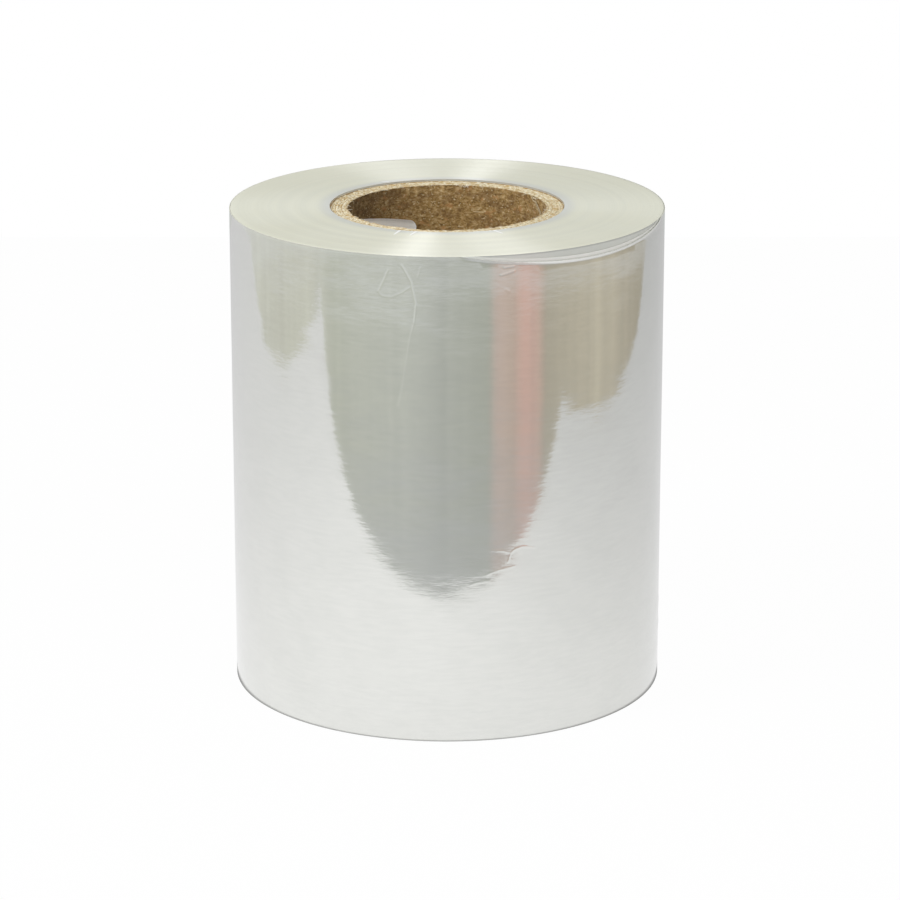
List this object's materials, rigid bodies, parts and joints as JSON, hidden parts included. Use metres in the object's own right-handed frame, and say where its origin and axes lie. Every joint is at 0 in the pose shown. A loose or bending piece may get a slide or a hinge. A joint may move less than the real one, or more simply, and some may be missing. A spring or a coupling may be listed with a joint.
{
  "type": "roll of lidding film",
  "caption": "Full roll of clear lidding film, wound on a 3 inch spiral paper core, with its outer turns slack and a blank label stuck inside the core.",
  "frame": {"origin": "on the roll's axis, at the end face that the roll stands on", "axes": "+Z along the axis to the upper end, -Y towards the side that the picture shows, +X to the picture's right"},
  "size_m": [0.1676, 0.1678, 0.1882],
  "materials": {
    "core_board": "matte",
    "clear_film": "gloss",
    "label_paper": "satin"
  },
  "bodies": {
    "root": {"core": "core_board", "film": "clear_film", "core_label": "label_paper"}
  },
  "joints": []
}
